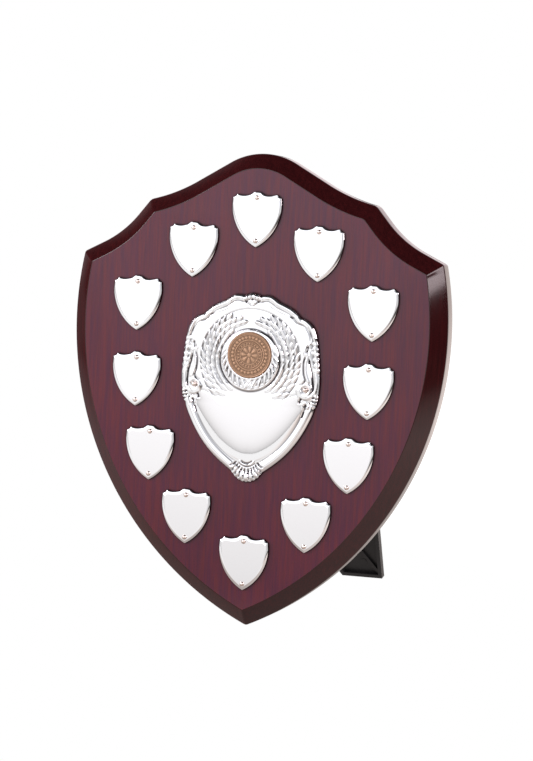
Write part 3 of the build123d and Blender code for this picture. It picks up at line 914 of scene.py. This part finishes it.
def plate_relief(edge):
    """The whole pressed surface, softened by one pass down the columns and one along the rows."""
    r = Relief(edge, PLATE_PITCH)
    for feature in (plate_ground, lobe_scrolls, crest, laurel, side_scroll, side_beads, bottom_fan,
                    plate_boss, boss_leaves):
        feature(r)
    h = r.height.copy()
    h[1:-1] = (r.height[:-2] + 2 * r.height[1:-1] + r.height[2:]) / 4
    r.height = h.copy()
    r.height[:, 1:-1] = (h[:, :-2] + 2 * h[:, 1:-1] + h[:, 2:]) / 4
    return r


def plate_quads(r):
    """Grid quads that reach inside the outline and outside the medallion's seat."""
    def any_corner(mask):
        return mask[:-1, :-1] | mask[:-1, 1:] | mask[1:, :-1] | mask[1:, 1:]

    used = any_corner(r.within) & any_corner(np.hypot(r.x, r.y) >= SEAT_HOLE_R)
    index = np.arange(r.x.size).reshape(r.x.shape)
    corners = (index[:-1, :-1], index[:-1, 1:], index[1:, 1:], index[1:, :-1])
    return np.stack(corners, axis=-1)[used]


def centre_plate():
    """The pressed plate: a fine height field with a wall down to the board."""
    edge = plate_edge()
    r = plate_relief(edge)
    quads = plate_quads(r)
    points = np.stack((r.x, r.y, np.maximum(r.height, PLATE_LOWEST)), axis=-1).reshape(-1, 3)
    outside = np.unique(quads[~r.within.reshape(-1)[quads]])
    points[outside, :2] = snapped(points[outside, :2], edge)
    points[outside, 2] = EDGE_H
    rim = open_edges(quads)
    keep, faces = np.unique(np.concatenate((quads.reshape(-1), rim.reshape(-1))), return_inverse=True)
    quad_faces = faces[: quads.size].reshape(-1, 4)
    rim_faces = faces[quads.size:].reshape(-1, 2)
    top = points[keep]
    foot = top[rim_faces[:, 0]].copy()
    foot[:, 2] = FOOT_H
    foot_of = {int(v): len(top) + i for i, v in enumerate(rim_faces[:, 0])}
    walls = [(int(b), int(a), foot_of[int(a)], foot_of[int(b)]) for a, b in rim_faces]
    faces = [tuple(map(int, q)) for q in quad_faces] + walls
    piece = add_piece("centre_plate_pressed", np.vstack((top, foot)), faces, [SILVER])
    # Painted shade: hollows darken with their depth below their surroundings, and the wall down to the
    # board is fully dark
    dark = hollows(r.height, HOLLOW_REACH).reshape(-1)[keep]
    set_values(piece, "recess", np.concatenate((dark, np.ones(len(foot)))))
    stand_for(piece, "centre_plate", 60)


def hollows(height, reach):
    """How far each place lies below its surroundings, from 0 to 1."""
    mean = height
    for axis in (0, 1):
        shifts = [np.roll(mean, step, axis) for step in range(-reach, reach + 1)]
        mean = sum(shifts) / len(shifts)
    return np.clip((mean - height - 0.05) / 0.25, 0, 1)


def open_edges(quads):
    """Directed edges that only one quad uses."""
    pairs = np.vstack([quads[:, [i, (i + 1) % 4]] for i in range(4)])
    span = quads.max() + 1
    forward = pairs[:, 0] * span + pairs[:, 1]
    backward = pairs[:, 1] * span + pairs[:, 0]
    return pairs[~np.isin(forward, backward)]


# ---- medallion ----
MEDAL_R = 12.5
MEDAL_SINK = 0.42
MEDAL_SIDES = 240
MEDAL_RINGS = 64
MEDAL_BEADS = 30


def medal_height(radius, turn):
    """Relief of the disc: a rim, a ring of beads, plain rings, short spokes and a rosette."""
    share = radius / MEDAL_R
    height = 0.42 * hump(share, 0.93, 1.07)
    height += 0.20 * hump(share, 0.885, 0.93)
    height += 0.36 * hump(share, 0.64, 0.70) + 0.30 * hump(share, 0.56, 0.60)
    height += 0.30 * hump(share, 0.40, 0.45)
    place = (turn * MEDAL_BEADS / math.tau) % 1.0
    across = (place - 0.5) * share * MEDAL_R * math.tau / MEDAL_BEADS
    height += 0.42 * dome(np.hypot(across, radius - 0.79 * MEDAL_R), 0.85)
    spokes = 0.5 + 0.5 * np.cos(turn * 24)
    height += 0.32 * spokes**2 * hump(share, 0.45, 0.56, 0.5)
    petals = 0.5 + 0.5 * np.cos(turn * 8 + 0.6)
    height += 0.42 * petals * hump(share, 0.1, 0.40, 0.7)
    height += 0.3 * dome(share, 0.1)
    return height


def medallion():
    """The struck disc; its hollows are marked for the patina."""
    low, high = board_box("medallion")
    rings = np.linspace(0.02, 0.985, MEDAL_RINGS) * MEDAL_R
    turns = np.linspace(0, math.tau, MEDAL_SIDES, endpoint=False)
    radius, turn = np.meshgrid(rings, turns, indexing="ij")
    relief = medal_height(radius, turn)
    face = np.stack((radius * np.cos(turn), radius * np.sin(turn), high[2] - MEDAL_SINK + relief), axis=-1)
    sides = [circle(MEDAL_R, turns, height) for height in (high[2] - 0.2, low[2])]
    faces = loft_faces(len(rings) + len(sides), MEDAL_SIDES, True)
    faces = [tuple(reversed(f)) for f in faces]
    piece = add_piece("medallion_struck", np.vstack((face.reshape(-1, 3), *sides)), faces, [BRONZE])
    worn = np.clip(relief / 0.36, 0, 1).reshape(-1)
    set_values(piece, "worn", np.concatenate((worn, np.full(len(sides) * MEDAL_SIDES, 0.5))))
    stand_for(piece, "medallion", 55)


# ---- pins ----
PIN_R = 1.4
PIN_RISE = 1.1
PIN_SKIRT = 1.35
PIN_SIDES = 28
PIN_SPACING = 4.0
HEAD_REACH = 3.0
HEAD_DEPTH = 1.3
SHANK_R = 0.65
SHANK_L = 6.0


def pin_tops(node):
    """The highest point over the middle of each pin of a CAD node, from the bottom pin up."""
    local = board_points(node)
    tops = []
    for point in local[np.argsort(-local[:, 2])]:
        if all(np.hypot(*(point[:2] - t[:2])) > PIN_SPACING for t in tops):
            near = local[np.hypot(*(local[:, :2] - point[:2]).T) < HEAD_REACH]
            head = near[near[:, 2] > near[:, 2].max() - HEAD_DEPTH]
            middle = (head[:, :2].min(0) + head[:, :2].max(0)) / 2
            tops.append(np.array((*middle, near[:, 2].max())))
    return sorted(tops, key=lambda t: (round(t[1], 2), round(t[0], 2)))


def pin_heads(node, name):
    """Smooth domes in place of the heads of the CAD pins, each with its shank."""
    turns = np.linspace(0, math.tau, PIN_SIDES, endpoint=False)
    head_angles = np.radians(np.arange(6, 91, 7))
    profile = [(PIN_R * math.sin(a), PIN_RISE * (math.cos(a) - 1)) for a in head_angles]
    profile += [(PIN_R, -PIN_SKIRT), (SHANK_R, -PIN_SKIRT), (SHANK_R, -SHANK_L)]
    points, faces = [], []
    for top in pin_tops(node):
        start = len(points) * PIN_SIDES
        points += [circle(radius, turns, height) + top for radius, height in profile]
        for face in loft_faces(len(profile), PIN_SIDES, True):
            faces.append(tuple(start + i for i in reversed(face)))
    piece = add_piece(name, np.vstack(points), faces, [NICKEL])
    stand_for(piece, node, 50)


# ---- stage, light and camera ----
CAMERA_AZIMUTH = 18.68
CAMERA_HEIGHT = 15.54
CAMERA_ROLL = math.radians(-1.86)
CAMERA_TARGET = Vector((0.00914, 0.01474, 0.1394))
CAMERA_DISTANCE = 1.2384
CAMERA_LENS = 105.17
LAMP_TINT = (1.0, 0.87, 0.90)
LAMP_TARGET = Vector((0, 0.01, 0.13))
GAP_LEVEL = 0.6
BEHIND_LEVEL = 1.5
ROOM_LEVEL = 0.05
FLOOR_HALF = 9.0


def direction(azimuth, elevation):
    """Unit vector towards a place round the object; azimuth 0 is in front, 90 to the right."""
    a, e = math.radians(azimuth), math.radians(elevation)
    return Vector((math.sin(a) * math.cos(e), -math.cos(a) * math.cos(e), math.sin(e)))


def camera():
    """The camera, rolled a little about its line of sight."""
    back = direction(CAMERA_AZIMUTH, CAMERA_HEIGHT)
    level = back.to_track_quat("Z", "Y").to_matrix().to_4x4()
    turned = level @ Matrix.Rotation(CAMERA_ROLL, 4, "Z")
    data = bpy.data.cameras.new("camera")
    data.lens = CAMERA_LENS
    data.sensor_width = 36
    data.clip_end = 50
    made = add_object("camera", data)
    made.matrix_world = Matrix.Translation(CAMERA_TARGET + back * CAMERA_DISTANCE) @ turned
    bpy.context.scene.camera = made


def softbox(name, azimuth, elevation, distance, width, height, radiance, mirrored=True):
    """A rectangular light that faces the plaque, seen in reflections or not."""
    data = bpy.data.lights.new(name, "AREA")
    data.shape = "RECTANGLE"
    data.color = LAMP_TINT
    data.size, data.size_y = width, height
    data.energy = radiance * math.pi * width * height
    made = add_object(name, data)
    toward = direction(azimuth, elevation)
    made.location = LAMP_TARGET + toward * distance
    made.rotation_mode = "QUATERNION"
    made.rotation_quaternion = toward.to_track_quat("Z", "Y")
    made.visible_camera = False
    made.visible_glossy = mirrored


def studio_world():
    """The room by direction, white to the camera. Reflections find a tall white card in front and
    to the left, a dimmer gap to the right of it, a bright rosy wall behind, and dim air elsewhere."""
    world = bpy.data.worlds.new("studio")
    bpy.context.scene.world = world
    world.use_nodes = True
    room = Nodes(world.node_tree)

    def rise(value, low, high, at_low=0.0, at_high=1.0):
        return room.span(value, at_low, at_high, low, high, "SMOOTHSTEP")

    def window(value, a, b, c, d):
        return room.times(rise(value, a, b), rise(value, c, d, 1.0, 0.0))

    source = room.node("TexCoord")
    split = room.node("SeparateXYZ")
    room.give(split.inputs[0], source.outputs["Generated"])
    x, y, z = split.outputs
    azimuth = room.azimuth(x, y)
    height = room.times(room.maths("ARCSINE", z), math.degrees(1))
    card_level = room.span(height, 0.56, 1.56, 0, 18)
    card_rise = room.times(window(height, -2, 1, 56, 68), card_level)
    card = room.times(window(azimuth, -93, -76, 6, 15), card_rise)
    gap = room.times(window(azimuth, 6, 15, 47, 54), window(height, -2, 1, 45, 60))
    behind = rise(y, 0.2, 0.6, 0.0, BEHIND_LEVEL)
    behind = room.times(behind, window(height, -60, -20, 48, 64))
    front = room.maths("ADD", card, room.times(gap, GAP_LEVEL))
    light = room.maths("ADD", front, room.maths("ADD", behind, ROOM_LEVEL))
    path = room.node("LightPath")
    cool = room.mix(rise(height, 4, 18), (1.0, 0.985, 0.985), (0.97, 0.985, 1.03))
    rosy = room.mix(rise(y, 0.1, 0.4), cool, (1.0, 0.86, 0.88))
    seen = room.maths("MAXIMUM", light, path.outputs["Is Camera Ray"])
    room.feed(room.tree.nodes["Background"], Strength=seen, Color=rosy)


def floor_light(look):
    """(strength, colour) of the floor's painted glow by place: a dim sweep in front, a pale pool to the
    right of the plaque and a little light behind it, warm close to the plaque and to its right."""
    source = look.node("TexCoord")
    length = look.node("VectorMath", operation="LENGTH")
    look.give(length.inputs[0], source.outputs["Object"])
    side = look.node("SeparateXYZ")
    look.give(side.inputs[0], source.outputs["Object"])
    x, y, _ = side.outputs
    far = length.outputs["Value"]
    azimuth = look.azimuth(x, y)
    left_end = look.span(azimuth, 0, 1, -98, -78)
    front = look.times(left_end, look.span(azimuth, 1, 0, 5, 20))
    sweep = look.times(front, look.span(far, 0.46, 0.95, 0.12, 0.32))
    elsewhere = look.maths("SUBTRACT", 1.0, front)
    pool = look.times(look.span(far, 1.0, 0.08, 0.35, 1.0), elsewhere)
    pool = look.times(pool, look.span(x, 0.42, 1.2, -0.05, 0.40))
    behind = look.span(y, 0.0, 1.2, 0.06, 0.30)
    behind = look.times(behind, look.span(x, 0.1, 1.3, -0.25, 0.15))
    level = look.maths("ADD", sweep, look.maths("ADD", pool, behind))
    direct = look.node("LightPath").outputs["Is Camera Ray"]
    grain = look.noise(1, 40.0, 2.0, 0.5, turn=0.0)
    warm = look.mix(grain, (0.98, 0.87, 0.82), (0.98, 0.88, 0.83))
    near = look.maths("MAXIMUM", look.span(far, 1, 0, 0.15, 0.35), look.span(x, 0, 1, -0.02, 0.12))
    plain = look.maths("MAXIMUM", direct, look.maths("SUBTRACT", 1.0, near))
    return look.maths("MAXIMUM", level, direct), look.mix(plain, warm, (1, 1, 1))


def floor():
    """A plain white table that glows rather than being lit: pure white to the camera, with painted light
    and shade where it is seen in reflections.
    """
    mesh = bpy.data.meshes.new("floor")
    far = FLOOR_HALF
    mesh.from_pydata([(-far, -far, 0), (far, -far, 0), (far, far, 0), (-far, far, 0)], [], [(0, 1, 2, 3)])
    made = add_object("floor", mesh)
    look = Look("floor_white")
    strength, colour = floor_light(look)
    glow = look.node("Emission")
    look.feed(glow, Strength=strength, Color=colour)
    look.give(look.tree.nodes["Material Output"].inputs[0], glow.outputs[0])
    mesh.materials.append(look.material)


def paint(node, material, bevel=0.0):
    """A finish for a CAD node that is shown as it is, with its edges eased."""
    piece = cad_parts[node]
    piece.data.materials.clear()
    piece.data.materials.append(material)
    if bevel:
        eased = piece.modifiers.new("eased", "BEVEL")
        eased.width = bevel * MM
        eased.segments = 2
        eased.limit_method = "ANGLE"
        eased.angle_limit = math.radians(40)
        eased.harden_normals = True


backboard()
side_shields()
centre_plate()
medallion()
pin_heads("side_shield_pins", "side_shield_pin_heads")
pin_heads("centre_plate_pins", "centre_plate_pin_heads")
paint("medallion_adhesive_pad", FOAM)
paint("strut_leg", BLACK_PLASTIC, 0.4)
paint("strut_hinge_plate", BLACK_PLASTIC, 0.4)
paint("strut_hinge_pin", STEEL)
paint("strut_hinge_screws", ZINC)
paint("hanger_plate", BRASSED, 0.2)
paint("hanger_screws", ZINC)

studio_world()
softbox("key", 68, 28, 1.3, 0.55, 0.60, 7.5)
softbox("arris_light", -52, 34, 1.3, 0.26, 0.26, 11.0)
softbox("left_fill", -78, 8, 1.4, 0.9, 0.9, 9.0, False)
floor()
camera()
bpy.context.scene.view_settings.view_transform = "Standard"
